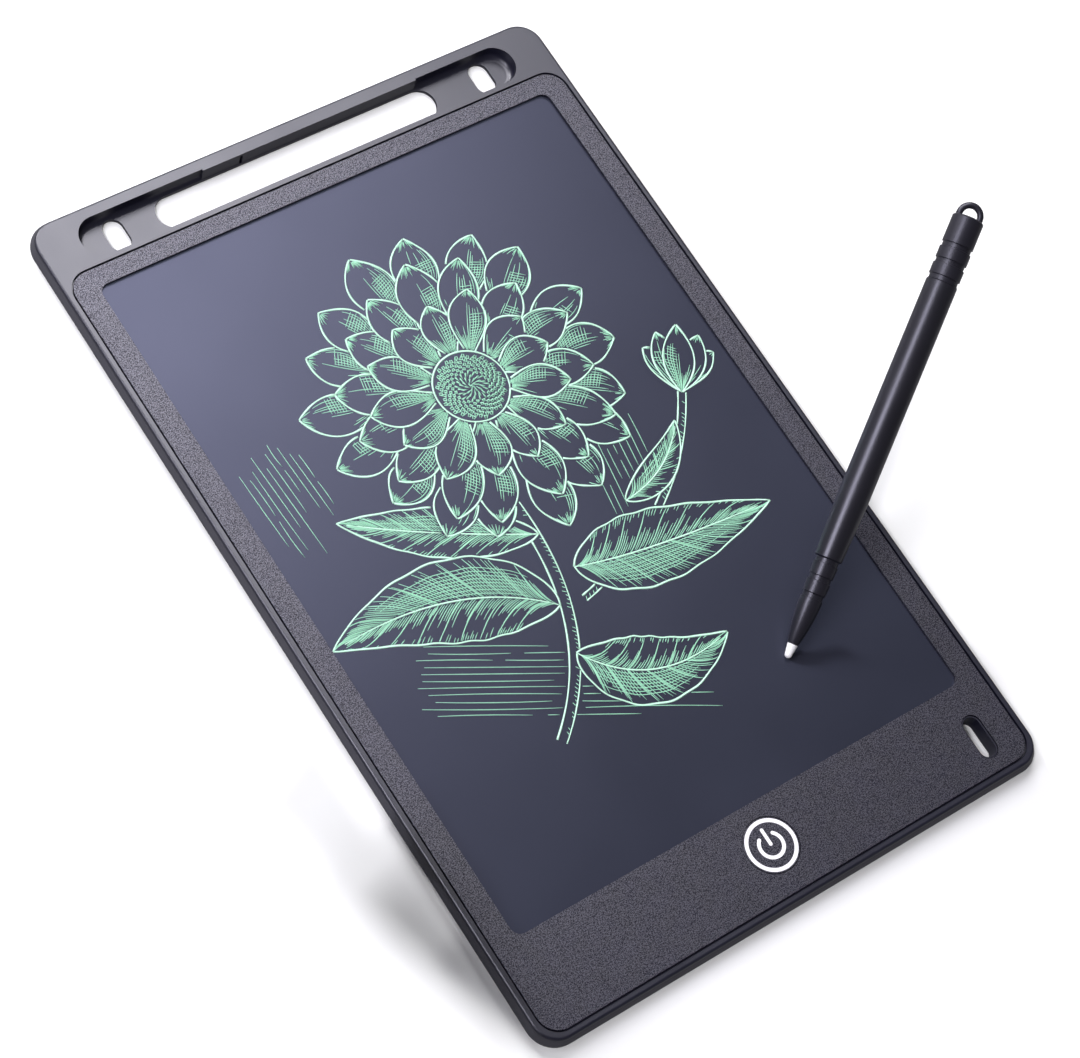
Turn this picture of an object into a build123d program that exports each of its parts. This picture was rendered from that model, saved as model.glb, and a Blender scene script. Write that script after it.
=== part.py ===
from build123d import *
from math import asin, atan, cos, degrees, radians, sin, tan
import os

os.makedirs("parts", exist_ok=True)

# An LCD writing tablet lying on its back, with its stylus held to the screen.
# +X points to the right of the screen, +Y to the stylus recess, +Z out of the screen.
# The origin is the middle of the back face. Lengths are in millimetres.

# Case
tablet_length = 227.5
tablet_width = 147.0
tablet_thickness = 5.0
corner_radius = 7.0
cut_overrun = 1.0

# Back cover
plate_thickness = 1.2
cover_wall = 1.4
cover_height = 4.1
back_edge_radius = 2.3
bulge_height = 2.7

# Front frame
seam_gap = 0.1
cover_flare = 0.75
top_edge_radius = 0.75
rim_width = 2.3
top_band = 15.8
pocket_radius = 5.6
ledge_thickness = 1.0
lip_clearance = 0.15
lip_wall = 1.2
lip_depth = 1.5

# Bezel panel, its adhesive and the groove round it
panel_thickness = 0.9
panel_sink = 0.05
panel_gap = 0.4
panel_edge_radius = 0.2
tape_thickness = 0.1
tape_inset = 0.6
window_side_margin = 6.0
window_top_margin = 4.9
window_bottom_margin = 22.8
window_radius = 2.5

# LCD stack
lcd_drop = 0.05
lcd_lap = 2.2
lcd_clearance = 0.2
lcd_radius = 1.5
top_film_thickness = 0.3
crystal_thickness = 0.1
bottom_film_thickness = 0.3
backing_film_thickness = 0.2
board_inset = 1.0
foam_strip_width = 8.0
foam_strip_count = 4

# Stylus recess and the slots through its floor
recess_side_distance = 11.1
recess_width = 10.7
recess_edge_distance = 3.85
recess_floor_radius = 1.6
tub_wall = 1.2
tub_floor = 1.0
tub_sink = 0.2
tub_clearance = 0.2
slot_inset = 0.9
long_slot_left_inset = 21.4
long_slot_right_inset = 23.0
small_slot_width = 5.4
small_slot_left_inset = 10.2
small_slot_right_inset = 8.4
rib_left_inset = 36.4
rib_right_inset = 26.4
rib_top_height = 0.45
rib_foot_height = 0.85
rib_notch_inset = 11.0
rib_notch_width = 0.8

# Lanyard hole
lanyard_side_distance = 12.65
lanyard_edge_distance = 11.9
lanyard_separation = 6.4
lanyard_radius = 2.2
lanyard_wall = 0.35
lanyard_gap = 0.15
lanyard_sink = 0.35
lanyard_foot_lift = 0.05

# Erase button
button_x = -0.4
button_edge_distance = 14.75
button_radius = 6.85
button_gap = 0.15
button_edge_chamfer = 0.1
button_travel = 0.4
flange_radius = 8.3
flange_thickness = 0.6
flange_gap = 0.1
well_clearance = 0.7
post_radius = 1.0
post_length = 0.15

# Symbol printed on the button
print_thickness = 0.04
ring_radius = 6.45
ring_stroke = 0.95
arc_radius = 3.45
arc_stroke = 0.9
arc_gap_angle = 40.0
bar_stroke = 0.85
bar_length = 4.6
bar_foot = 0.15

# Circuit board and the parts on it
board_lift = 0.4
circuit_thickness = 0.6
circuit_gap = 0.5
circuit_right = 41.0
circuit_length = 17.5
circuit_edge_distance = 6.25
circuit_radius = 1.0
pin_radius = 0.75
pin_shoulder_radius = 1.7
pin_height = 0.5
pin_fit = 0.05
pin_inset = 2.0
pin_start_x = 3.5
switch_size = 4.8
switch_height = 0.55
switch_corner = 0.5
bore_radius = 1.2
plunger_radius = 1.1
dome_radius = 1.15
dome_thickness = 0.06
dome_gap = 0.02
chip_size = 3.6
chip_height = 0.6
chip_x = 22.5
capacitor_length = 1.6
capacitor_width = 0.8
capacitor_height = 0.6
capacitor_count = 4
capacitor_pitch = 2.2
capacitor_x = 20.0
capacitor_drop = 5.0
tail_width = 9.0
tail_x = 13.0
tail_thickness = 0.15
tail_lap = 2.6
tail_foot = 3.2

# Erase lock on the back
lock_x = 32.0
lock_edge_distance = 16.0
lock_travel = 2.5
knob_length = 5.0
knob_width = 4.4
knob_sink = 0.1
knob_edge = 0.3
dish_length = 13.0
dish_width = 6.6
dish_depth = 0.7
neck_length = 3.6
neck_width = 2.0
neck_gap = 0.2
keeper_length = 6.4
keeper_width = 3.2
keeper_thickness = 0.25
keeper_gap = 0.05
finger_length = 1.6
finger_width = 1.2
finger_height = 0.35
wiper_length = 2.2
wiper_width = 1.0
wiper_thickness = 0.12
wiper_room = 0.08
lock_body_length = 9.0
lock_body_width = 4.0
lock_body_height = 0.72
grip_count = 3
grip_pitch = 1.3
grip_width = 0.5
grip_depth = 0.15

# Battery bay
cell_radius = 10.0
cell_height = 1.6
cell_edge_radius = 0.35
cell_can_height = 1.1
cell_cap_radius = 8.6
cell_x = -30.0
cell_edge_distance = 17.25
cell_seat_gap = 0.05
bay_gap = 0.5
bay_wall = 1.0
bay_height = 1.2
block_height = 0.7
block_margin = 1.6
door_length = 27.0
door_width = 25.0
door_thickness = 0.9
door_sink = 0.05
door_gap = 0.15
door_radius = 2.0
ear_reach = 6.0
ear_width = 9.0
contact_thickness = 0.15
contact_width = 3.0
contact_gap = 0.05
contact_foot = 2.0
minus_offset = 4.0
minus_reach = 4.0
plus_start_angle = -62.0
plus_arc_angle = 40.0
plus_clip_drop = 0.3

# Screw of the battery door
screw_radius = 0.8
screw_length = 1.7
screw_fit = 0.05
screw_head_radius = 1.7
screw_head_height = 0.5
screw_head_sink = 0.1
screw_head_gap = 0.15
screw_boss_radius = 2.1
cross_length = 1.9
cross_width = 0.4
cross_depth = 0.25

# Stylus
stylus_tip_right_inset = 34.4
stylus_tip_low_inset = 25.25
stylus_elevation = 28.3
stylus_azimuth = 37.9
stylus_touch_gap = 0.05
nib_length = 3.5
nib_radius = 1.3
nib_end_radius = 0.9
nib_tang_radius = 0.9
nib_tang_length = 6.0
cone_length = 11.5
cone_end_radius = 2.8
cone_bulge = 0.35
grip_section_length = 10.1
grip_section_radius = 3.1
ring_groove_count = 3
ring_groove_width = 1.4
ring_groove_depth = 0.25
ring_groove_edge = 0.15
lower_barrel_radius = 3.4
barrel_taper_length = 15.0
barrel_radius = 3.85
barrel_length = 70.0
barrel_wall = 1.3
barrel_end_chamfer = 0.2
plug_length = 6.0
plug_fit = 0.05
cap_groove_count = 3
cap_groove_width = 1.35
cap_groove_pitch = 4.05
cap_groove_depth = 0.3
cap_length = 16.4
cap_chamfer = 0.4
loop_outer_radius = 3.35
loop_wire_radius = 0.78
loop_straight = 0.55

# Heights worked out from the sizes above
half_length = tablet_length / 2
half_width = tablet_width / 2
panel_top = tablet_thickness - panel_sink
panel_bottom = panel_top - panel_thickness
ledge_top = panel_bottom - tape_thickness
ledge_bottom = ledge_top - ledge_thickness
frame_bottom = cover_height + seam_gap
lip_bottom = ledge_bottom - lip_depth
lcd_top = panel_bottom - lcd_drop
crystal_top = lcd_top - top_film_thickness
bottom_film_top = crystal_top - crystal_thickness
backing_film_top = bottom_film_top - bottom_film_thickness
board_top = backing_film_top - backing_film_thickness
circuit_bottom = plate_thickness + board_lift
circuit_top = circuit_bottom + circuit_thickness
board_thickness = board_top - circuit_top
foam_thickness = circuit_top - plate_thickness
recess_floor = tub_sink + tub_floor

# Outlines worked out from the sizes above
frame_width = tablet_width - 2 * cover_flare
frame_length = tablet_length - 2 * cover_flare
frame_radius = corner_radius - cover_flare
inner_width = tablet_width - 2 * cover_wall
inner_length = tablet_length - 2 * cover_wall
inner_radius = corner_radius - cover_wall
lip_width = inner_width - 2 * lip_clearance
lip_length = inner_length - 2 * lip_clearance
lip_radius = inner_radius - lip_clearance
pocket_width = tablet_width - 2 * rim_width
pocket_length = tablet_length - rim_width - top_band
pocket_y = (rim_width - top_band) / 2
panel_width = pocket_width - 2 * panel_gap
panel_length = pocket_length - 2 * panel_gap
panel_radius = pocket_radius - panel_gap
panel_low = pocket_y - panel_length / 2
window_width = panel_width - 2 * window_side_margin
window_length = panel_length - window_top_margin - window_bottom_margin
window_y = panel_low + window_bottom_margin + window_length / 2
lcd_width = window_width + 2 * lcd_lap
lcd_length = window_length + 2 * lcd_lap
lcd_low = window_y - lcd_length / 2
recess_length = tablet_width - 2 * recess_side_distance
recess_left = -recess_length / 2
recess_right = recess_length / 2
recess_y = half_length - recess_edge_distance - recess_width / 2
recess_far = half_length - recess_edge_distance
tub_length = recess_length + 2 * tub_wall
tub_width = recess_width + 2 * tub_wall
slot_width = recess_width - 2 * slot_inset
long_slot_length = recess_length - long_slot_left_inset - long_slot_right_inset
long_slot_x = (long_slot_left_inset - long_slot_right_inset) / 2
small_slot_places = (recess_left + small_slot_left_inset, recess_right - small_slot_right_inset)
rib_left = recess_left + rib_left_inset
rib_length = recess_length - rib_left_inset - rib_right_inset
lanyard_x = half_width - lanyard_side_distance
lanyard_y = lanyard_edge_distance - half_length
button_y = button_edge_distance - half_length
cell_y = cell_edge_distance - half_length
screw_x = cell_x + door_length / 2 + ear_reach - ear_width / 2
circuit_left = screw_x + ear_width / 2 + block_margin + circuit_gap
circuit_width = circuit_right - circuit_left
circuit_x = (circuit_left + circuit_right) / 2
circuit_y = circuit_edge_distance + circuit_length / 2 - half_length
circuit_high = circuit_y + circuit_length / 2
lock_y = lock_edge_distance - half_length
bay_radius = cell_radius + bay_gap
block_length = door_length + 2 * block_margin
block_width = door_width + 2 * block_margin


def finish(piece, name):
    piece.part.label = name
    export_step(piece.part, "parts/" + name + ".step")


# Back cover: a tray whose side walls lean in towards the front frame and carry it
lean_height = cover_height - bulge_height
lean_angle = degrees(atan(cover_flare / lean_height))
with BuildPart() as back_cover:
    with BuildSketch():
        RectangleRounded(tablet_width, tablet_length, corner_radius)
    extrude(amount=bulge_height)
    fillet(back_cover.edges().group_by(Axis.Z)[0], radius=back_edge_radius)
    with BuildSketch(Plane.XY.offset(bulge_height)):
        RectangleRounded(tablet_width, tablet_length, corner_radius)
    extrude(amount=lean_height, taper=lean_angle)
    with BuildSketch(Plane.XY.offset(plate_thickness)):
        RectangleRounded(inner_width, inner_length, inner_radius)
    extrude(amount=cover_height, mode=Mode.SUBTRACT)
    # thickened block and ring wall of the battery bay
    with BuildSketch(Plane.XY.offset(plate_thickness)):
        with Locations((cell_x, cell_y)):
            RectangleRounded(block_length, block_width, door_radius + block_margin)
        with Locations((screw_x, cell_y)):
            RectangleRounded(ear_width + 2 * block_margin, ear_width + 2 * block_margin, door_radius)
    extrude(amount=block_height)
    with BuildSketch(Plane.XY.offset(plate_thickness)):
        with Locations((cell_x, cell_y)):
            Circle(bay_radius + bay_wall)
        with Locations((screw_x, cell_y)):
            Circle(screw_boss_radius)
    extrude(amount=bay_height)
    # shoulders and pins that locate the circuit board
    pin_places = [
        (pin_x, pin_y)
        for pin_x in (pin_start_x, circuit_right - pin_inset)
        for pin_y in (circuit_y - circuit_length / 2 + pin_inset, circuit_high - pin_inset)
    ]
    with BuildSketch(Plane.XY.offset(plate_thickness)):
        with Locations(*pin_places):
            Circle(pin_shoulder_radius)
    extrude(amount=board_lift)
    with BuildSketch(Plane.XY.offset(circuit_bottom)):
        with Locations(*pin_places):
            Circle(pin_radius)
    extrude(amount=circuit_thickness + pin_height)
    # openings for the recess tub, the lanyard tube and the lock knob's neck
    with BuildSketch():
        with Locations((0, recess_y)):
            SlotOverall(tub_length + 2 * tub_clearance, tub_width + 2 * tub_clearance)
        with Locations((lanyard_x, lanyard_y)):
            SlotCenterToCenter(
                lanyard_separation, 2 * (lanyard_radius + lanyard_wall + lanyard_gap), rotation=90
            )
        with Locations((lock_x + lock_travel / 2, lock_y)):
            RectangleRounded(neck_length + lock_travel + 2 * neck_gap, neck_width + 2 * neck_gap, neck_gap)
    extrude(amount=cover_height, mode=Mode.SUBTRACT)
    with BuildSketch():
        with Locations((lock_x + lock_travel / 2, lock_y)):
            SlotOverall(dish_length, dish_width)
    extrude(amount=dish_depth, mode=Mode.SUBTRACT)
    # the door's recess, the cell's opening and the screw's pilot hole
    with BuildSketch():
        with Locations((cell_x, cell_y)):
            RectangleRounded(door_length + 2 * door_gap, door_width + 2 * door_gap, door_radius + door_gap)
        with Locations((screw_x, cell_y)):
            RectangleRounded(ear_width + 2 * door_gap, ear_width + 2 * door_gap, door_radius + door_gap)
    extrude(amount=door_sink + door_thickness + door_sink, mode=Mode.SUBTRACT)
    with BuildSketch():
        with Locations((cell_x, cell_y)):
            Circle(bay_radius)
        with Locations((screw_x, cell_y)):
            Circle(screw_radius + screw_fit)
    extrude(amount=cover_height, mode=Mode.SUBTRACT)
finish(back_cover, "back_cover")

# Cutter for the stylus recess, with a rounded floor edge
with BuildPart() as recess_cutter:
    with BuildSketch(Plane.XY.offset(recess_floor)):
        with Locations((0, recess_y)):
            SlotOverall(recess_length, recess_width)
    extrude(amount=tablet_thickness - recess_floor + cut_overrun)
    fillet(recess_cutter.edges().group_by(Axis.Z)[0], radius=recess_floor_radius)

# Front frame: rim, stylus band with its tub, ledge for the panel and the lanyard tube
with BuildPart() as front_frame:
    with BuildSketch(Plane.XY.offset(frame_bottom)):
        RectangleRounded(frame_width, frame_length, frame_radius)
    extrude(amount=tablet_thickness - frame_bottom)
    fillet(front_frame.edges().group_by(Axis.Z)[-1], radius=top_edge_radius)
    with BuildSketch(Plane.XY.offset(ledge_bottom)):
        RectangleRounded(lip_width, lip_length, lip_radius)
    extrude(amount=frame_bottom - ledge_bottom)
    with BuildSketch(Plane.XY.offset(lip_bottom)):
        RectangleRounded(lip_width, lip_length, lip_radius)
        RectangleRounded(
            lip_width - 2 * lip_wall, lip_length - 2 * lip_wall, lip_radius - lip_wall, mode=Mode.SUBTRACT
        )
    extrude(amount=lip_depth)
    with BuildSketch(Plane.XY.offset(tub_sink)):
        with Locations((0, recess_y)):
            SlotOverall(tub_length, tub_width)
    extrude(amount=frame_bottom - tub_sink)
    add(recess_cutter.part, mode=Mode.SUBTRACT)
    # leaning rib on the recess's far wall that grips the stylus, with its notch
    with BuildSketch(Plane.YZ.offset(rib_left)):
        with BuildLine():
            Polyline(
                (recess_far + rib_foot_height, recess_floor),
                (recess_far - rib_foot_height, recess_floor),
                (recess_far - rib_top_height, tablet_thickness),
                (recess_far + rib_foot_height, tablet_thickness),
                close=True,
            )
        make_face()
    extrude(amount=rib_length)
    with BuildSketch(Plane.XY.offset(recess_floor)):
        with Locations((rib_left + rib_notch_inset, recess_far - rib_foot_height / 2)):
            Rectangle(rib_notch_width, rib_foot_height)
    extrude(amount=tablet_thickness - recess_floor - rib_notch_width, mode=Mode.SUBTRACT)
    # slots through the recess's floor
    with BuildSketch():
        with Locations((long_slot_x, recess_y)):
            SlotOverall(long_slot_length, slot_width)
        with Locations(*[(place, recess_y) for place in small_slot_places]):
            SlotOverall(slot_width, small_slot_width, rotation=90)
    extrude(amount=recess_floor + recess_floor_radius, mode=Mode.SUBTRACT)
    # pocket for the panel, opening for the LCD and well for the button's flange
    with BuildSketch(Plane.XY.offset(ledge_top)):
        with Locations((0, pocket_y)):
            RectangleRounded(pocket_width, pocket_length, pocket_radius)
    extrude(amount=tablet_thickness, mode=Mode.SUBTRACT)
    with BuildSketch(Plane.XY.offset(ledge_bottom)):
        with Locations((0, window_y)):
            RectangleRounded(lcd_width + 2 * lcd_clearance, lcd_length + 2 * lcd_clearance, lcd_radius)
        with Locations((button_x, button_y)):
            Circle(flange_radius + well_clearance)
    extrude(amount=ledge_thickness, mode=Mode.SUBTRACT)
    # lanyard tube
    with BuildSketch(Plane.XY.offset(lanyard_foot_lift)):
        with Locations((lanyard_x, lanyard_y)):
            SlotCenterToCenter(lanyard_separation, 2 * (lanyard_radius + lanyard_wall), rotation=90)
    extrude(amount=panel_top - lanyard_sink - lanyard_foot_lift)
    with BuildSketch():
        with Locations((lanyard_x, lanyard_y)):
            SlotCenterToCenter(lanyard_separation, 2 * lanyard_radius, rotation=90)
    extrude(amount=tablet_thickness, mode=Mode.SUBTRACT)
finish(front_frame, "front_frame")

# Bezel panel with its window, button hole and lanyard hole
with BuildPart() as bezel_panel:
    with BuildSketch(Plane.XY.offset(panel_bottom)):
        with Locations((0, pocket_y)):
            RectangleRounded(panel_width, panel_length, panel_radius)
    extrude(amount=panel_thickness)
    fillet(bezel_panel.edges().group_by(Axis.Z)[-1], radius=panel_edge_radius)
    with BuildSketch(Plane.XY.offset(panel_bottom)):
        with Locations((0, window_y)):
            RectangleRounded(window_width, window_length, window_radius)
        with Locations((button_x, button_y)):
            Circle(button_radius + button_gap)
        with Locations((lanyard_x, lanyard_y)):
            SlotCenterToCenter(
                lanyard_separation, 2 * (lanyard_radius + lanyard_wall + lanyard_gap), rotation=90
            )
    extrude(amount=panel_thickness, mode=Mode.SUBTRACT)
finish(bezel_panel, "bezel_panel")

# Adhesive frame between the panel and the ledge
with BuildPart() as bezel_tape:
    with BuildSketch(Plane.XY.offset(ledge_top)):
        with Locations((0, pocket_y)):
            RectangleRounded(panel_width - 2 * tape_inset, panel_length - 2 * tape_inset, panel_radius)
        with Locations((0, window_y)):
            RectangleRounded(
                lcd_width + 2 * tape_inset, lcd_length + 2 * tape_inset, lcd_radius, mode=Mode.SUBTRACT
            )
        with Locations((button_x, button_y)):
            Circle(flange_radius + well_clearance + tape_inset, mode=Mode.SUBTRACT)
        with Locations((lanyard_x, lanyard_y)):
            SlotCenterToCenter(
                lanyard_separation,
                2 * (lanyard_radius + lanyard_wall + tape_inset),
                rotation=90,
                mode=Mode.SUBTRACT,
            )
    extrude(amount=tape_thickness)
finish(bezel_tape, "bezel_tape")

# The LCD's sheets, from the writing face down
lcd_sheets = (
    ("lcd_top_film", crystal_top, top_film_thickness),
    ("liquid_crystal_layer", bottom_film_top, crystal_thickness),
    ("lcd_bottom_film", backing_film_top, bottom_film_thickness),
)
for sheet_name, sheet_bottom, sheet_thickness in lcd_sheets:
    with BuildPart() as lcd_sheet:
        with BuildSketch(Plane.XY.offset(sheet_bottom)):
            with Locations((0, window_y)):
                RectangleRounded(lcd_width, lcd_length, lcd_radius)
        extrude(amount=sheet_thickness)
    finish(lcd_sheet, sheet_name)

# Black film behind the crystal, notched for the flex tail
tail_notch_width = tail_width + 2 * lcd_clearance
tail_notch_reach = tail_lap + lcd_clearance
with BuildPart() as black_backing_film:
    with BuildSketch(Plane.XY.offset(board_top)):
        with Locations((0, window_y)):
            RectangleRounded(lcd_width, lcd_length, lcd_radius)
        with Locations((tail_x, lcd_low)):
            Rectangle(tail_notch_width, 2 * tail_notch_reach, mode=Mode.SUBTRACT)
    extrude(amount=backing_film_thickness)
finish(black_backing_film, "black_backing_film")

# Stiff board behind the LCD, cut back round the battery bay and the flex tail
block_high = cell_y + block_width / 2
with BuildPart() as backing_board:
    with BuildSketch(Plane.XY.offset(circuit_top)):
        with Locations((0, window_y)):
            RectangleRounded(lcd_width - 2 * board_inset, lcd_length - 2 * board_inset, lcd_radius)
        with Locations((cell_x, lcd_low)):
            Rectangle(
                block_length + 2 * board_inset, 2 * (block_high + board_inset - lcd_low), mode=Mode.SUBTRACT
            )
        with Locations((tail_x, lcd_low)):
            Rectangle(tail_notch_width, 2 * tail_notch_reach, mode=Mode.SUBTRACT)
    extrude(amount=board_thickness)
finish(backing_board, "backing_board")

# Foam strips between the board and the cover, kept above the battery bay
foam_low = block_high + board_inset
foam_high = window_y + lcd_length / 2 - board_inset
foam_pitch = (lcd_width - 2 * board_inset - foam_strip_width) / (foam_strip_count - 1)
with BuildPart() as foam_strips:
    with BuildSketch(Plane.XY.offset(plate_thickness)):
        with Locations((0, (foam_low + foam_high) / 2)):
            with GridLocations(foam_pitch, 0, foam_strip_count, 1):
                Rectangle(foam_strip_width, foam_high - foam_low)
    extrude(amount=foam_thickness)
finish(foam_strips, "foam_strips")

# Erase button cap with its retaining flange and the post under it
flange_top = panel_bottom - flange_gap
flange_bottom = flange_top - flange_thickness
post_bottom = flange_bottom - post_length
with BuildPart() as erase_button_cap:
    with BuildSketch(Plane.XY.offset(flange_bottom)):
        with Locations((button_x, button_y)):
            Circle(button_radius)
    extrude(amount=panel_top - flange_bottom)
    chamfer(erase_button_cap.edges().group_by(Axis.Z)[-1], length=button_edge_chamfer)
    with BuildSketch(Plane.XY.offset(flange_bottom)):
        with Locations((button_x, button_y)):
            Circle(flange_radius)
    extrude(amount=flange_thickness)
    with BuildSketch(Plane.XY.offset(post_bottom)):
        with Locations((button_x, button_y)):
            Circle(post_radius)
    extrude(amount=post_length)
finish(erase_button_cap, "erase_button_cap")

# Ring and power symbol printed on the cap
wedge_reach = 2 * arc_radius
wedge_half = wedge_reach * tan(radians(arc_gap_angle))
arc_middle = arc_radius - arc_stroke / 2
arc_ends = [
    (side * arc_middle * sin(radians(arc_gap_angle)), arc_middle * cos(radians(arc_gap_angle)))
    for side in (-1, 1)
]
with BuildPart() as button_symbol_print:
    with BuildSketch(Plane.XY.offset(panel_top)):
        with Locations((button_x, button_y)):
            Circle(ring_radius)
            Circle(ring_radius - ring_stroke, mode=Mode.SUBTRACT)
    extrude(amount=print_thickness)
    with BuildSketch(Plane.XY.offset(panel_top)):
        with Locations((button_x, button_y)):
            Circle(arc_radius)
            Circle(arc_radius - arc_stroke, mode=Mode.SUBTRACT)
        with BuildLine():
            Polyline(
                (button_x, button_y),
                (button_x + wedge_half, button_y + wedge_reach),
                (button_x - wedge_half, button_y + wedge_reach),
                close=True,
            )
        make_face(mode=Mode.SUBTRACT)
        with Locations((button_x, button_y)):
            with Locations(*arc_ends):
                Circle(arc_stroke / 2)
    extrude(amount=print_thickness)
    with BuildSketch(Plane.XY.offset(panel_top)):
        with Locations((button_x, button_y - bar_foot + bar_length / 2)):
            SlotOverall(bar_length, bar_stroke, rotation=90)
    extrude(amount=print_thickness)
finish(button_symbol_print, "button_symbol_print")

# Circuit board with holes for the pins and a slot for the lock's finger
with BuildPart() as circuit_board:
    with BuildSketch(Plane.XY.offset(circuit_bottom)):
        with Locations((circuit_x, circuit_y)):
            RectangleRounded(circuit_width, circuit_length, circuit_radius)
        with Locations(*pin_places):
            Circle(pin_radius + pin_fit, mode=Mode.SUBTRACT)
        with Locations((lock_x + lock_travel / 2, lock_y)):
            RectangleRounded(
                finger_length + lock_travel + 2 * neck_gap,
                finger_width + 2 * neck_gap,
                neck_gap,
                mode=Mode.SUBTRACT,
            )
    extrude(amount=circuit_thickness)
finish(circuit_board, "circuit_board")

# Tact switch under the button: body, plunger and snap dome
with BuildPart() as tact_switch_body:
    with BuildSketch(Plane.XY.offset(circuit_top)):
        with Locations((button_x, button_y)):
            RectangleRounded(switch_size, switch_size, switch_corner)
            Circle(bore_radius, mode=Mode.SUBTRACT)
    extrude(amount=switch_height)
finish(tact_switch_body, "tact_switch_body")

dome_height = button_travel + dome_thickness + dome_gap
plunger_bottom = circuit_top + dome_height
with BuildPart() as tact_switch_plunger:
    with BuildSketch(Plane.XY.offset(plunger_bottom)):
        with Locations((button_x, button_y)):
            Circle(plunger_radius)
    extrude(amount=post_bottom - plunger_bottom)
finish(tact_switch_plunger, "tact_switch_plunger")

dome_sphere = (dome_radius**2 + dome_height**2) / (2 * dome_height)
dome_centre = dome_height - dome_sphere
outer_angle = degrees(asin(-dome_centre / dome_sphere))
inner_sphere = dome_sphere - dome_thickness
inner_angle = degrees(asin(-dome_centre / inner_sphere))
with BuildPart() as snap_dome:
    with BuildSketch(Plane(origin=(button_x, button_y, circuit_top), x_dir=(1, 0, 0), z_dir=(0, -1, 0))):
        with BuildLine():
            outside = CenterArc((0, dome_centre), dome_sphere, outer_angle, 90 - outer_angle)
            inside = CenterArc((0, dome_centre), inner_sphere, inner_angle, 90 - inner_angle)
            Line(outside @ 0, inside @ 0)
            Line(outside @ 1, inside @ 1)
        make_face()
    revolve(axis=Axis((button_x, button_y, 0), (0, 0, 1)))
finish(snap_dome, "snap_dome")

# Controller chip and ceramic capacitors
with BuildPart() as controller_chip:
    with BuildSketch(Plane.XY.offset(circuit_top)):
        with Locations((chip_x, circuit_y)):
            Rectangle(chip_size, chip_size)
    extrude(amount=chip_height)
finish(controller_chip, "controller_chip")

with BuildPart() as ceramic_capacitors:
    with BuildSketch(Plane.XY.offset(circuit_top)):
        with Locations((capacitor_x, circuit_y - capacitor_drop)):
            with GridLocations(capacitor_pitch, 0, capacitor_count, 1):
                Rectangle(capacitor_width, capacitor_length)
    extrude(amount=capacitor_height)
finish(ceramic_capacitors, "ceramic_capacitors")

# Flex tail from the LCD's bottom film down to the circuit board
tail_top = backing_film_top
tail_start = lcd_low + tail_lap
tail_bend = lcd_low + tail_thickness
tail_end = circuit_high - tail_foot
with BuildPart() as lcd_flex_tail:
    with BuildSketch(Plane.YZ.offset(tail_x - tail_width / 2)):
        with BuildLine():
            Polyline(
                (tail_start, tail_top),
                (tail_start, tail_top - tail_thickness),
                (tail_bend + tail_thickness, tail_top - tail_thickness),
                (tail_bend + tail_thickness, circuit_top),
                (tail_end, circuit_top),
                (tail_end, circuit_top + tail_thickness),
                (tail_bend, circuit_top + tail_thickness),
                (tail_bend, tail_top),
                close=True,
            )
        make_face()
    extrude(amount=tail_width)
finish(lcd_flex_tail, "lcd_flex_tail")

# Erase lock: knob, wiper and switch body
keeper_bottom = plate_thickness + keeper_gap
keeper_top = keeper_bottom + keeper_thickness
finger_top = circuit_top + finger_height
with BuildPart() as lock_knob:
    with BuildSketch(Plane.XY.offset(knob_sink)):
        with Locations((lock_x, lock_y)):
            RectangleRounded(knob_length, knob_width, knob_edge)
    extrude(amount=dish_depth - knob_sink - keeper_gap)
    with BuildSketch(Plane.XY.offset(knob_sink)):
        with Locations((lock_x, lock_y)):
            with GridLocations(grip_pitch, 0, grip_count, 1):
                Rectangle(grip_width, knob_width)
    extrude(amount=grip_depth, mode=Mode.SUBTRACT)
    with BuildSketch(Plane.XY.offset(dish_depth - keeper_gap)):
        with Locations((lock_x, lock_y)):
            Rectangle(neck_length, neck_width)
    extrude(amount=keeper_bottom - dish_depth + keeper_gap)
    with BuildSketch(Plane.XY.offset(keeper_bottom)):
        with Locations((lock_x, lock_y)):
            Rectangle(keeper_length, keeper_width)
    extrude(amount=keeper_thickness)
    with BuildSketch(Plane.XY.offset(keeper_top)):
        with Locations((lock_x, lock_y)):
            Rectangle(finger_length, finger_width)
    extrude(amount=finger_top - keeper_top)
finish(lock_knob, "lock_knob")

with BuildPart() as lock_wiper:
    with BuildSketch(Plane.XY.offset(finger_top)):
        with Locations((lock_x, lock_y)):
            Rectangle(wiper_length, wiper_width)
    extrude(amount=wiper_thickness)
finish(lock_wiper, "lock_wiper")

pocket_depth = finger_height + wiper_thickness + wiper_room
with BuildPart() as lock_switch_body:
    with BuildSketch(Plane.XY.offset(circuit_top)):
        with Locations((lock_x + lock_travel / 2, lock_y)):
            Rectangle(lock_body_length, lock_body_width)
    extrude(amount=lock_body_height)
    with BuildSketch(Plane.XY.offset(circuit_top)):
        with Locations((lock_x + lock_travel / 2, lock_y)):
            Rectangle(wiper_length + lock_travel + 2 * neck_gap, finger_width + 2 * neck_gap)
    extrude(amount=pocket_depth, mode=Mode.SUBTRACT)
finish(lock_switch_body, "lock_switch_body")

# Coin cell: a can with a smaller cap towards the screen
cell_bottom = door_sink + door_thickness + cell_seat_gap
cell_top = cell_bottom + cell_height
with BuildPart() as coin_cell:
    with BuildSketch(Plane.XY.offset(cell_bottom)):
        with Locations((cell_x, cell_y)):
            Circle(cell_radius)
    extrude(amount=cell_can_height)
    fillet(coin_cell.edges().group_by(Axis.Z)[0], radius=cell_edge_radius)
    with BuildSketch(Plane.XY.offset(cell_bottom + cell_can_height)):
        with Locations((cell_x, cell_y)):
            Circle(cell_cap_radius)
    extrude(amount=cell_height - cell_can_height)
finish(coin_cell, "coin_cell")

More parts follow.
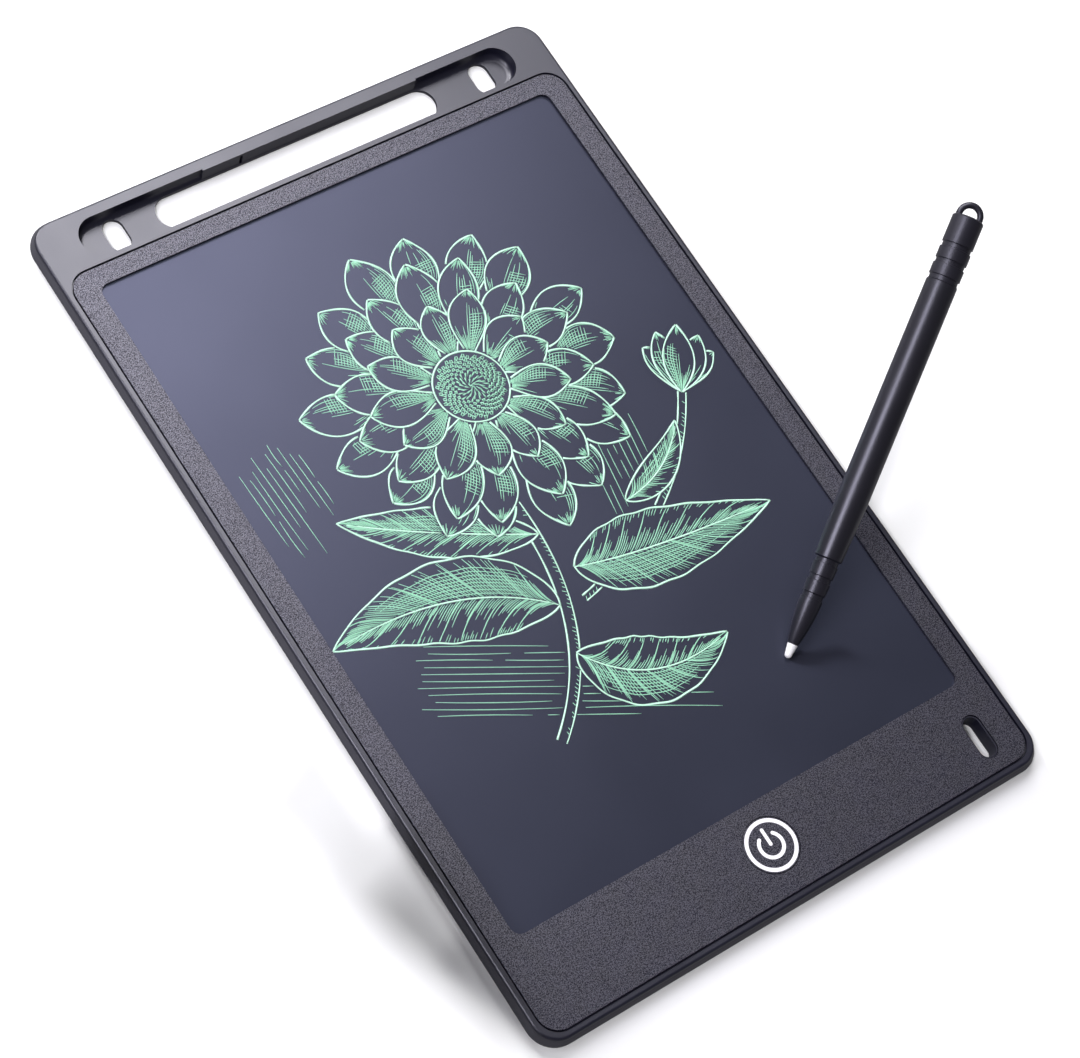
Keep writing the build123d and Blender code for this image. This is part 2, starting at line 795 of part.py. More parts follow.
# Negative contact: a strip over the cell's cap with a foot on the circuit board
minus_y = cell_y + minus_offset
foot_x = circuit_left + contact_foot
strip_bottom = cell_top
with BuildPart() as battery_contact_negative:
    with BuildSketch(Plane.XZ.offset(contact_width / 2 - minus_y)):
        with BuildLine():
            Polyline(
                (cell_x - minus_reach, strip_bottom),
                (foot_x - contact_thickness, strip_bottom),
                (foot_x - contact_thickness, circuit_top),
                (foot_x + contact_foot, circuit_top),
                (foot_x + contact_foot, circuit_top + contact_thickness),
                (foot_x, circuit_top + contact_thickness),
                (foot_x, strip_bottom + contact_thickness),
                (cell_x - minus_reach, strip_bottom + contact_thickness),
                close=True,
            )
        make_face()
    extrude(amount=-contact_width)
finish(battery_contact_negative, "battery_contact_negative")

# Positive contact: a clip round the can's edge, with a strip to the circuit board
clip_inner = cell_radius + contact_gap
clip_outer = clip_inner + contact_thickness
clip_bottom = plate_thickness + plus_clip_drop
plus_top = plate_thickness + bay_height + contact_gap + contact_thickness
plus_angle = plus_start_angle + plus_arc_angle / 2
plus_x = cell_x + (clip_inner + contact_thickness / 2) * cos(radians(plus_angle))
plus_y = cell_y + (clip_inner + contact_thickness / 2) * sin(radians(plus_angle))
with BuildPart() as battery_contact_positive:
    with BuildSketch(Plane.XY.offset(clip_bottom)):
        with BuildLine(Plane(origin=(cell_x, cell_y, clip_bottom))):
            outer_clip = CenterArc((0, 0), clip_outer, plus_start_angle, plus_arc_angle)
            inner_clip = CenterArc((0, 0), clip_inner, plus_start_angle, plus_arc_angle)
            Line(outer_clip @ 0, inner_clip @ 0)
            Line(outer_clip @ 1, inner_clip @ 1)
        make_face()
    extrude(amount=plus_top - clip_bottom)
    with BuildSketch(Plane.XZ.offset(contact_width / 2 - plus_y)):
        with BuildLine():
            Polyline(
                (plus_x, plus_top - contact_thickness),
                (foot_x - contact_thickness, plus_top - contact_thickness),
                (foot_x - contact_thickness, circuit_top),
                (foot_x + contact_foot, circuit_top),
                (foot_x + contact_foot, circuit_top + contact_thickness),
                (foot_x, circuit_top + contact_thickness),
                (foot_x, plus_top),
                (plus_x, plus_top),
                close=True,
            )
        make_face()
    extrude(amount=-contact_width)
    with BuildSketch(Plane.XY.offset(clip_bottom)):
        with Locations((cell_x, cell_y)):
            Circle(clip_inner)
    extrude(amount=cover_height, mode=Mode.SUBTRACT)
finish(battery_contact_positive, "battery_contact_positive")

# Battery door with its ear and the screw's counterbore
head_floor = screw_head_sink + screw_head_height
with BuildPart() as battery_door:
    with BuildSketch(Plane.XY.offset(door_sink)):
        with Locations((cell_x, cell_y)):
            RectangleRounded(door_length, door_width, door_radius)
        with Locations((screw_x, cell_y)):
            RectangleRounded(ear_width, ear_width, door_radius)
    extrude(amount=door_thickness)
    with BuildSketch():
        with Locations((screw_x, cell_y)):
            Circle(screw_radius + screw_fit)
    extrude(amount=door_sink + door_thickness, mode=Mode.SUBTRACT)
    with BuildSketch():
        with Locations((screw_x, cell_y)):
            Circle(screw_head_radius + screw_head_gap)
    extrude(amount=head_floor, mode=Mode.SUBTRACT)
finish(battery_door, "battery_door")

with BuildPart() as battery_door_screw:
    with BuildSketch(Plane.XY.offset(screw_head_sink)):
        with Locations((screw_x, cell_y)):
            Circle(screw_head_radius)
    extrude(amount=screw_head_height)
    chamfer(battery_door_screw.edges().group_by(Axis.Z)[0], length=screw_head_gap)
    with BuildSketch(Plane.XY.offset(head_floor)):
        with Locations((screw_x, cell_y)):
            Circle(screw_radius)
    extrude(amount=screw_length)
    with BuildSketch(Plane.XY.offset(screw_head_sink)):
        with Locations((screw_x, cell_y)):
            Rectangle(cross_length, cross_width)
            Rectangle(cross_width, cross_length)
    extrude(amount=cross_depth, mode=Mode.SUBTRACT)
finish(battery_door_screw, "battery_door_screw")

# Stylus: turned pieces about one leaning axis that starts at the nib's end
lean = radians(stylus_elevation)
swing = radians(stylus_azimuth)
stylus_direction = Vector(cos(lean) * cos(swing), cos(lean) * sin(swing), sin(lean))
stylus_side = Vector(sin(swing), -cos(swing), 0)
tip_height = lcd_top + stylus_touch_gap + nib_end_radius * (1 - sin(lean))
stylus_tip_x = window_width / 2 - stylus_tip_right_inset
stylus_tip_y = window_y - window_length / 2 + stylus_tip_low_inset
stylus_tip = Vector(stylus_tip_x, stylus_tip_y, tip_height)
stylus_axis = Axis(stylus_tip, stylus_direction)
# In this plane a point is (radius, distance from the nib's end).
stylus_plane = Plane(
    origin=stylus_tip, x_dir=stylus_side, z_dir=stylus_side.cross(stylus_direction)
)

cone_start = nib_length
cone_end = cone_start + cone_length
barrel_start = cone_end + grip_section_length
taper_end = barrel_start + barrel_taper_length
barrel_end = barrel_start + barrel_length
cap_end = barrel_end + cap_length
bore = barrel_radius - barrel_wall
lower_bore = lower_barrel_radius - barrel_wall
plug_radius = bore - plug_fit
lower_plug_radius = lower_bore - plug_fit

with BuildPart() as stylus_nib:
    with BuildSketch(stylus_plane):
        with BuildLine():
            round_end = CenterArc((0, nib_end_radius), nib_end_radius, -90, 75)
            Polyline(
                round_end @ 1,
                (nib_radius, nib_length),
                (nib_tang_radius, nib_length),
                (nib_tang_radius, nib_length + nib_tang_length),
                (0, nib_length + nib_tang_length),
                (0, 0),
            )
        make_face()
    revolve(axis=stylus_axis)
finish(stylus_nib, "stylus_nib")

# Nose cone: swelling cone, grooved grip section and the plug inside the barrel
groove_pitch = (grip_section_length - ring_groove_width) / (ring_groove_count - 1)
with BuildPart() as stylus_nose_cone:
    with BuildSketch(stylus_plane):
        with BuildLine():
            swell = ThreePointArc(
                (nib_radius, cone_start),
                ((nib_radius + cone_end_radius) / 2 + cone_bulge, (cone_start + cone_end) / 2),
                (cone_end_radius, cone_end),
            )
            Polyline(
                swell @ 1,
                (grip_section_radius, barrel_start),
                (lower_plug_radius, barrel_start),
                (lower_plug_radius, barrel_start + plug_length),
                (0, barrel_start + plug_length),
                (0, cone_start),
                swell @ 0,
            )
        make_face()
    revolve(axis=stylus_axis)
    with BuildSketch(stylus_plane):
        for groove in range(ring_groove_count):
            groove_start = cone_end + groove * groove_pitch
            share = (groove_start - cone_end) / grip_section_length
            groove_radius = cone_end_radius + share * (grip_section_radius - cone_end_radius)
            groove_end = groove_start + ring_groove_width
            with BuildLine():
                Polyline(
                    (groove_radius - ring_groove_depth, groove_start + ring_groove_edge),
                    (groove_radius + ring_groove_depth, groove_start - ring_groove_edge),
                    (groove_radius + ring_groove_depth, groove_end + ring_groove_edge),
                    (groove_radius - ring_groove_depth, groove_end - ring_groove_edge),
                    close=True,
                )
            make_face()
    revolve(axis=stylus_axis, mode=Mode.SUBTRACT)
    with BuildSketch(stylus_plane):
        with BuildLine():
            Polyline(
                (0, 0),
                (nib_tang_radius + plug_fit, 0),
                (nib_tang_radius + plug_fit, nib_length + nib_tang_length + plug_fit),
                (0, nib_length + nib_tang_length + plug_fit),
                close=True,
            )
        make_face()
    revolve(axis=stylus_axis, mode=Mode.SUBTRACT)
finish(stylus_nose_cone, "stylus_nose_cone")

# Barrel: a tube that tapers towards the grip
with BuildPart() as stylus_barrel:
    with BuildSketch(stylus_plane):
        with BuildLine():
            Polyline(
                (lower_bore, barrel_start),
                (lower_barrel_radius - barrel_end_chamfer, barrel_start),
                (lower_barrel_radius, barrel_start + barrel_end_chamfer),
                (barrel_radius, taper_end),
                (barrel_radius, barrel_end - barrel_end_chamfer),
                (barrel_radius - barrel_end_chamfer, barrel_end),
                (bore, barrel_end),
                (bore, taper_end),
                (lower_bore, taper_end - barrel_taper_length / 2),
                close=True,
            )
        make_face()
    revolve(axis=stylus_axis)
finish(stylus_barrel, "stylus_barrel")

# End cap: plug, three grooves, smooth end and the loop for a cord
loop_centre_radius = loop_outer_radius - loop_wire_radius
loop_turn = cap_end + loop_straight
with BuildPart() as stylus_end_cap:
    with BuildSketch(stylus_plane):
        with BuildLine():
            Polyline(
                (0, barrel_end - plug_length),
                (plug_radius, barrel_end - plug_length),
                (plug_radius, barrel_end),
                (barrel_radius - barrel_end_chamfer, barrel_end),
                (barrel_radius, barrel_end + barrel_end_chamfer),
                (barrel_radius, cap_end - cap_chamfer),
                (barrel_radius - cap_chamfer, cap_end),
                (0, cap_end),
                close=True,
            )
        make_face()
    revolve(axis=stylus_axis)
    with BuildSketch(stylus_plane):
        for groove in range(cap_groove_count):
            groove_start = barrel_end + groove * cap_groove_pitch
            groove_end = groove_start + cap_groove_width
            with BuildLine():
                Polyline(
                    (barrel_radius - cap_groove_depth, groove_start + ring_groove_edge),
                    (barrel_radius + cap_groove_depth, groove_start - ring_groove_edge),
                    (barrel_radius + cap_groove_depth, groove_end + ring_groove_edge),
                    (barrel_radius - cap_groove_depth, groove_end - ring_groove_edge),
                    close=True,
                )
            make_face()
    revolve(axis=stylus_axis, mode=Mode.SUBTRACT)
    with BuildLine(stylus_plane) as loop_path:
        Line((loop_centre_radius, cap_end - loop_wire_radius), (loop_centre_radius, loop_turn))
        CenterArc((0, loop_turn), loop_centre_radius, 0, 180)
        Line((-loop_centre_radius, loop_turn), (-loop_centre_radius, cap_end - loop_wire_radius))
    loop_start = stylus_plane.from_local_coords(Vector(loop_centre_radius, cap_end - loop_wire_radius, 0))
    with BuildSketch(Plane(origin=loop_start, z_dir=stylus_direction)):
        Circle(loop_wire_radius)
    sweep(path=loop_path.line)
finish(stylus_end_cap, "stylus_end_cap")
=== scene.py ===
import math
import random

import bmesh
import bpy
import numpy as np
from mathutils import Matrix, Vector


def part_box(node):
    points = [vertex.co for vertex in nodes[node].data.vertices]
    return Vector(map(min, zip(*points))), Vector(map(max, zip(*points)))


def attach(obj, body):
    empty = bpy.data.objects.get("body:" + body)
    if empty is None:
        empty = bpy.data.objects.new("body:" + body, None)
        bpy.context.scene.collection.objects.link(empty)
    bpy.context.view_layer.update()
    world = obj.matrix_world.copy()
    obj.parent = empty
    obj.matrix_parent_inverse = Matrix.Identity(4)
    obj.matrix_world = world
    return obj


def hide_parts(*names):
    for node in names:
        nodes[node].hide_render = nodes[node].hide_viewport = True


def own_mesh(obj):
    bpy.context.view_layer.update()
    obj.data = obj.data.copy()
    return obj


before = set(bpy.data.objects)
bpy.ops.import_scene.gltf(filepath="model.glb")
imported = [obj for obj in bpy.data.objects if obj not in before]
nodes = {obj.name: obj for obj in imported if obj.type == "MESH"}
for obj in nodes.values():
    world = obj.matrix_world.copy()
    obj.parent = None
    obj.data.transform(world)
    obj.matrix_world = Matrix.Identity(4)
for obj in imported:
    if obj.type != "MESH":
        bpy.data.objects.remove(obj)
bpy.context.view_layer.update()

scene = bpy.context.scene
mm = 0.001
weldReach = 1e-7


# Camera
camera = {
    "place": (-0.316154727, -0.1856112, 0.640420589),
    "right": (0.805524, -0.539958, 0.244084),
    "up": (0.410803, 0.805722, 0.426677),
    "back": (-0.427051, -0.243428, 0.870844),
    "lens": 104.2845,
    "sensorWidth": 36.0,
    "clipNear": 0.01,
    "clipFar": 20.0,
}


def placeCamera(c):
    data = bpy.data.cameras.new("camera")
    data.lens = c["lens"]
    data.sensor_fit = "HORIZONTAL"
    data.sensor_width = c["sensorWidth"]
    data.clip_start = c["clipNear"]
    data.clip_end = c["clipFar"]
    cam = bpy.data.objects.new("camera", data)
    scene.collection.objects.link(cam)
    turn = Matrix((c["right"], c["up"], c["back"])).transposed().to_4x4()
    cam.matrix_world = Matrix.Translation(Vector(c["place"])) @ turn
    scene.camera = cam


placeCamera(camera)
scene.view_settings.view_transform = "Standard"
print("camera placed")


# Mesh and shader helpers
def weld(bm):
    bmesh.ops.remove_doubles(bm, verts=bm.verts, dist=weldReach)
    bmesh.ops.recalc_face_normals(bm, faces=bm.faces)


def meshObject(name, bm):
    mesh = bpy.data.meshes.new(name)
    bm.to_mesh(mesh)
    bm.free()
    obj = bpy.data.objects.new(name, mesh)
    scene.collection.objects.link(obj)
    return obj


def newMaterial(name):
    mat = bpy.data.materials.new(name)
    mat.use_nodes = True
    tree = mat.node_tree
    tree.nodes.clear()
    out = tree.nodes.new("ShaderNodeOutputMaterial")
    shader = tree.nodes.new("ShaderNodeBsdfPrincipled")
    tree.links.new(shader.outputs["BSDF"], out.inputs["Surface"])
    return mat, tree, shader


def objectCoords(tree, shift=(0, 0, 0)):
    coords = tree.nodes.new("ShaderNodeTexCoord")
    mapping = tree.nodes.new("ShaderNodeMapping")
    mapping.inputs["Location"].default_value = shift
    tree.links.new(coords.outputs["Object"], mapping.inputs["Vector"])
    return mapping.outputs["Vector"]


def noise(tree, vector, scale, n):
    node = tree.nodes.new("ShaderNodeTexNoise")
    node.inputs["Scale"].default_value = scale
    node.inputs["Detail"].default_value = n["detail"]
    node.inputs["Roughness"].default_value = n["rough"]
    tree.links.new(vector, node.inputs["Vector"])
    return node.outputs["Fac"]


def ramp(tree, value, n, lowColour, highColour):
    node = tree.nodes.new("ShaderNodeValToRGB")
    first, last = node.color_ramp.elements
    first.position, last.position = n["low"], n["high"]
    first.color, last.color = (*lowColour, 1.0), (*highColour, 1.0)
    tree.links.new(value, node.inputs["Fac"])
    return node.outputs["Color"]


def remap(tree, value, low, high, toLow, toHigh):
    node = tree.nodes.new("ShaderNodeMapRange")
    node.inputs["From Min"].default_value = low
    node.inputs["From Max"].default_value = high
    node.inputs["To Min"].default_value = toLow
    node.inputs["To Max"].default_value = toHigh
    tree.links.new(value, node.inputs["Value"])
    return node.outputs["Result"]


def bump(tree, shader, height, strength, distance):
    node = tree.nodes.new("ShaderNodeBump")
    node.inputs["Strength"].default_value = strength
    node.inputs["Distance"].default_value = distance
    tree.links.new(height, node.inputs["Height"])
    tree.links.new(node.outputs["Normal"], shader.inputs["Normal"])


# Finishes
# A noise has its detail and its roughness. Where it is remapped, most of it lies between its low and its
# high value.
driftNoise = {"detail": 3.0, "rough": 0.55, "low": 0.3, "high": 0.7}
grainNoise = {"detail": 2.0, "rough": 0.6}
sparkNoise = {"detail": 0.5, "rough": 0.5, "low": 0.34, "high": 0.66}
cloudNoise = {"detail": 2.0, "rough": 0.5, "low": 0.35, "high": 0.65}
stainNoise = {"detail": 4.0, "rough": 0.6, "low": 0.35, "high": 0.65}
lineNoise = {"detail": 3.0, "rough": 0.7, "low": 0.3, "high": 0.7}


# Moulded plastic: a colour and a roughness that drift a little together, under a fine grain.
def mouldedPlastic(name, f):
    mat, tree, shader = newMaterial(name)
    base = objectCoords(tree)
    drift = noise(tree, base, f["driftScale"], driftNoise)
    low = tuple(c * (1 - f["drift"]) for c in f["colour"])
    high = tuple(c * (1 + f["drift"]) for c in f["colour"])
    tree.links.new(ramp(tree, drift, driftNoise, low, high), shader.inputs["Base Color"])
    rough = remap(tree, drift, driftNoise["low"], driftNoise["high"],
                  f["roughness"] - f["roughSpread"], f["roughness"] + f["roughSpread"])
    tree.links.new(rough, shader.inputs["Roughness"])
    grain = noise(tree, base, f["grainScale"], grainNoise)
    bump(tree, shader, grain, f["grainStrength"], f["grainHeight"])
    shader.inputs["IOR"].default_value = f["ior"]
    shader.inputs["Specular IOR Level"].default_value = f["specular"]
    shader.inputs["Specular Tint"].default_value = (*f["tint"], 1)
    return mat


# Panel: black with a fine spark-eroded grain, whose facets shine more or less.
def sparklePanel(name, f):
    mat, tree, shader = newMaterial(name)
    base = objectCoords(tree)
    grain = noise(tree, base, f["grainScale"], sparkNoise)
    cloud = noise(tree, base, f["cloudScale"], cloudNoise)
    tree.links.new(ramp(tree, cloud, cloudNoise, f["dark"], f["light"]), shader.inputs["Base Color"])
    shine = remap(tree, grain, sparkNoise["low"], sparkNoise["high"], f["shineLow"], f["shineHigh"])
    tree.links.new(shine, shader.inputs["Specular IOR Level"])
    shader.inputs["Roughness"].default_value = f["roughness"]
    shader.inputs["Specular Tint"].default_value = (*f["tint"], 1)
    bump(tree, shader, grain, f["grainStrength"], f["grainHeight"])
    return mat


# Metal: rolled or stamped, with small stains and a fine unevenness.
def plainMetal(name, f):
    mat, tree, shader = newMaterial(name)
    stain = noise(tree, objectCoords(tree), f["stainScale"], stainNoise)
    stained = tuple(c * f["stained"] for c in f["colour"])
    tree.links.new(ramp(tree, stain, stainNoise, stained, f["colour"]), shader.inputs["Base Color"])
    shader.inputs["Metallic"].default_value = 1.0
    lines = noise(tree, objectCoords(tree, f["lineShift"]), f["lineScale"], lineNoise)
    rough = remap(tree, lines, lineNoise["low"], lineNoise["high"],
                  f["roughness"] - f["smoother"], f["roughness"] + f["rougher"])
    tree.links.new(rough, shader.inputs["Roughness"])
    bump(tree, shader, lines, f["lineStrength"], f["lineHeight"])
    return mat


plastic = {"drift": 0.12, "driftScale": 45.0, "roughSpread": 0.03, "grainScale": 2600.0,
           "grainStrength": 0.12, "grainHeight": 0.00002, "ior": 1.5, "specular": 0.5, "tint": (1, 1, 1)}
metal = {"stained": 0.82, "stainScale": 900.0, "lineScale": 3000.0, "lineShift": (0.3, 0, 0),
         "lineStrength": 0.15, "lineHeight": 0.00002, "roughness": 0.3, "smoother": 0.08, "rougher": 0.1}
frameFinish = {"colour": (0.0055, 0.0055, 0.015), "roughness": 0.39, "ior": 1.6, "specular": 0.86,
               "tint": (0.94, 0.93, 1.0), "grainStrength": 0.06}
coverFinish = {"drift": 0.05, "colour": (0.052, 0.051, 0.063), "roughness": 0.5, "grainScale": 1800.0,
               "grainStrength": 0.3, "grainHeight": 0.00003}
doorFinish = {**coverFinish, "colour": (0.045, 0.044, 0.055)}
panelFinish = {"grainScale": 4000.0, "cloudScale": 260.0, "dark": (0.0034, 0.0031, 0.0065),
               "light": (0.0050, 0.0046, 0.011), "shineLow": 0.35, "shineHigh": 2.4, "roughness": 0.505,
               "tint": (0.87, 0.85, 1.0), "grainStrength": 0.15, "grainHeight": 0.00002}
filmFinish = {"colour": (0.0067, 0.0074, 0.0115), "roughness": 0.35, "specular": 0.64,
              "tint": (0.65, 0.67, 1.0), "drift": 0.08, "driftScale": 20.0, "grainScale": 5200.0,
              "grainStrength": 0.05}
stylusFinish = {"colour": (0.007, 0.0067, 0.010), "roughness": 0.35, "specular": 1.05,
                "tint": (0.87, 0.86, 1.0)}
trimFinish = {"colour": (0.009, 0.0085, 0.013), "roughness": 0.37, "specular": 0.9,
              "tint": (0.87, 0.86, 1.0), "grainStrength": 0.1}
foamFinish = {"colour": (0.12, 0.12, 0.125), "roughness": 0.95, "grainScale": 1200.0, "grainStrength": 0.8}
switchFinish = {"colour": (0.02, 0.02, 0.02), "roughness": 0.5}
contactFinish = {"colour": (0.7, 0.68, 0.64), "stainScale": 300.0, "lineScale": 2500.0}

plasticNodes = {
    "front_frame": ("satin black frame", frameFinish),
    "back_cover": ("matt black cover", coverFinish),
    "battery_door": ("matt black door", doorFinish),
    "bezel_tape": ("black adhesive", {"colour": (0.02, 0.02, 0.02), "roughness": 0.8}),
    "lcd_top_film": ("dark writing film", filmFinish),
    "liquid_crystal_layer": ("mint crystal", {"colour": (0.28, 0.55, 0.4), "roughness": 0.4}),
    "lcd_bottom_film": ("clear film", {"colour": (0.5, 0.52, 0.55), "roughness": 0.2}),
    "black_backing_film": ("backing film", {"colour": (0.01, 0.01, 0.01), "roughness": 0.7}),
    "backing_board": ("white board", {"colour": (0.7, 0.7, 0.67), "roughness": 0.6}),
    "foam_strips": ("grey foam", foamFinish),
    "button_symbol_print": ("white print", {"colour": (0.9, 0.88, 0.93), "roughness": 0.55, "drift": 0.02}),
    "circuit_board": ("green board", {"colour": (0.015, 0.13, 0.05), "roughness": 0.35}),
    "lcd_flex_tail": ("amber flex", {"colour": (0.45, 0.19, 0.03), "roughness": 0.3}),
    "controller_chip": ("chip epoxy", {"colour": (0.02, 0.02, 0.02), "roughness": 0.7}),
    "ceramic_capacitors": ("capacitor ceramic", {"colour": (0.4, 0.27, 0.16), "roughness": 0.5}),
    "tact_switch_body": ("switch black", switchFinish),
    "tact_switch_plunger": ("switch white", {"colour": (0.75, 0.72, 0.65), "roughness": 0.4}),
    "lock_switch_body": ("lock switch black", switchFinish),
    "lock_knob": ("knob black", {"colour": (0.035, 0.035, 0.038), "roughness": 0.5}),
    "stylus_barrel": ("satin black barrel", stylusFinish),
    "stylus_nose_cone": ("smooth black nose", trimFinish),
    "stylus_end_cap": ("smooth black cap", trimFinish),
    "stylus_nib": ("white nib", {"colour": (0.85, 0.84, 0.86), "roughness": 0.4, "drift": 0.02}),
}
metalNodes = {
    "snap_dome": ("spring steel", {"colour": (0.7, 0.7, 0.7)}),
    "lock_wiper": ("wiper brass", {"colour": (0.75, 0.55, 0.22)}),
    "battery_contact_negative": ("nickel minus", contactFinish),
    "battery_contact_positive": ("nickel plus", contactFinish),
    "coin_cell": ("cell steel", {"colour": (0.72, 0.72, 0.72), "roughness": 0.25, "stainScale": 120.0,
                                 "lineScale": 2600.0}),
    "battery_door_screw": ("screw steel", {"colour": (0.45, 0.45, 0.46), "roughness": 0.35,
                                           "lineScale": 4000.0}),
}
panelNodes = {
    "bezel_panel": ("sparkle black panel", panelFinish),
    "erase_button_cap": ("sparkle black button", panelFinish),
}

finishes = {}
for make, common, dressed in ((mouldedPlastic, plastic, plasticNodes), (plainMetal, metal, metalNodes),
                              (sparklePanel, {}, panelNodes)):
    for node, (name, finish) in dressed.items():
        finishes[node] = make(name, {**common, **finish})
for name, obj in nodes.items():
    obj.data.materials.clear()
    obj.data.materials.append(finishes[name])
print("finishes on", len(nodes), "nodes")


# Snap dome under the button
# It is a thin shell of its own in place of the rigid solid.
springDome = {"wall": 0.00006, "arcSteps": 10, "turnSteps": 48, "pressedShare": 0.16}


def makeSpringDome(d):
    low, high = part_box("snap_dome")
    axis = Vector(((low.x + high.x) / 2, (low.y + high.y) / 2, low.z))
    rise, reach = high.z - low.z, (high.x - low.x) / 2
    ball = (reach ** 2 + rise ** 2) / (2 * rise)
    spread = math.asin(reach / ball)
    bm = bmesh.new()
    loop = []
    for shrink, turns in ((0.0, range(d["arcSteps"] + 1)), (d["wall"], range(d["arcSteps"], -1, -1))):
        for i in turns:
            angle = spread * i / d["arcSteps"]
            out = (ball - shrink) * math.sin(angle)
            up = max((ball - shrink) * math.cos(angle) + rise - ball, 0)
            loop.append(bm.verts.new(axis + Vector((out, 0, up))))
    edges = [bm.edges.new((loop[i], loop[i + 1])) for i in range(len(loop) - 1)]
    bmesh.ops.spin(bm, geom=loop + edges, cent=axis, axis=(0, 0, 1), angle=2 * math.pi, steps=d["turnSteps"],
                   use_merge=True)
    weld(bm)
    obj = meshObject("spring_dome", bm)
    obj.data.shade_smooth()
    obj.data.materials.append(finishes["snap_dome"])
    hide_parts("snap_dome")
    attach(obj, "tablet")
    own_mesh(obj)
    print("spring dome", len(obj.data.polygons), "faces")


makeSpringDome(springDome)


# Drawing on the screen
# A sprig with a large flower and leaves, hatched like an engraving. Its lengths are in mm. A stroke is its
# points, its width and whether its ends are round or fade.
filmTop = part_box("lcd_top_film")[1].z
drawing = {
    "turn": math.radians(-30.0),
    "centre": (2.0, 3.5),
    "seed": 11,
    "step": 0.9,
    "fewestPoints": 3,
    "lift": 0.012,
    "height": 0.05,
    "profile": ((-0.5, 0), (0.5, 0), (0, 0.5)),
    "outlineWidth": 0.62,
    "thinnerOutline": 0.8,
    "veinWidth": 0.34,
    "hatchWidth": 0.24,
    "hatchGap": 0.85,
    "crossGap": 1.2,
    "wobble": 0.15,
    "patchStride": 1.5,
    "fadedWidth": 0.35,
    "fadeSwell": 0.65,
    "fadeStart": 0.12,
    "fadeSpan": 0.8,
    "roundWidth": 0.85,
    "roundSwell": 0.15,
    "roundWaves": 9.0,
}
rng = random.Random(drawing["seed"])


def bezier(p0, p1, p2, count):
    t = np.linspace(0, 1, count)[:, None]
    p0, p1, p2 = (np.array(p, float) for p in (p0, p1, p2))
    return (1 - t) ** 2 * p0 + 2 * t * (1 - t) * p1 + t ** 2 * p2


def sidesOf(line):
    along = np.gradient(line, axis=0)
    along /= np.linalg.norm(along, axis=1, keepdims=True)
    return along, np.stack([-along[:, 1], along[:, 0]], axis=1)


def inside(points, polygon):
    x, y = points[:, 0], points[:, 1]
    px, py = polygon[:, 0], polygon[:, 1]
    qx, qy = np.roll(px, -1), np.roll(py, -1)
    hit = np.zeros(len(points), bool)
    for i in range(len(px)):
        if py[i] == qy[i]:
            continue
        crosses = (py[i] > y) != (qy[i] > y)
        hit ^= crosses & (x < (qx[i] - px[i]) * (y - py[i]) / (qy[i] - py[i]) + px[i])
    return hit


# A leaf has veins, hatching that runs beside them, short strokes from the edge on its light side, and lanes
# along the rib on its shaded side, which is 1 or -1.
leafForm = {
    "ribPoints": 61, "belly": 0.42, "fullness": 0.85, "waves": 38.0, "ribDrawn": 58,
    "sweep": 0.17, "sweepBend": 0.8,
    "veinGap": 6.5, "fewestVeins": 4, "firstVein": 0.04, "veinSpan": 0.8, "veinEnd": 0.96, "veinPoints": 14,
    "firstRow": 0.01, "rowSpan": 0.9, "rowStart": (0.0, 0.08), "rowPoints": 12,
    "denseEnd": (0.55, 0.98), "looseEnd": (0.2, 0.62),
    "edgeShare": 0.6, "edgeStart": 0.97, "edgeEnd": (0.75, 0.88), "edgePoints": 6,
    "fewestLanes": 2, "firstLane": 0.12, "laneSpan": 0.78, "laneStart": (0.1, 0.25), "laneEnd": (0.6, 0.85),
    "laneNarrowing": 0.25, "lanePoints": 30,
}


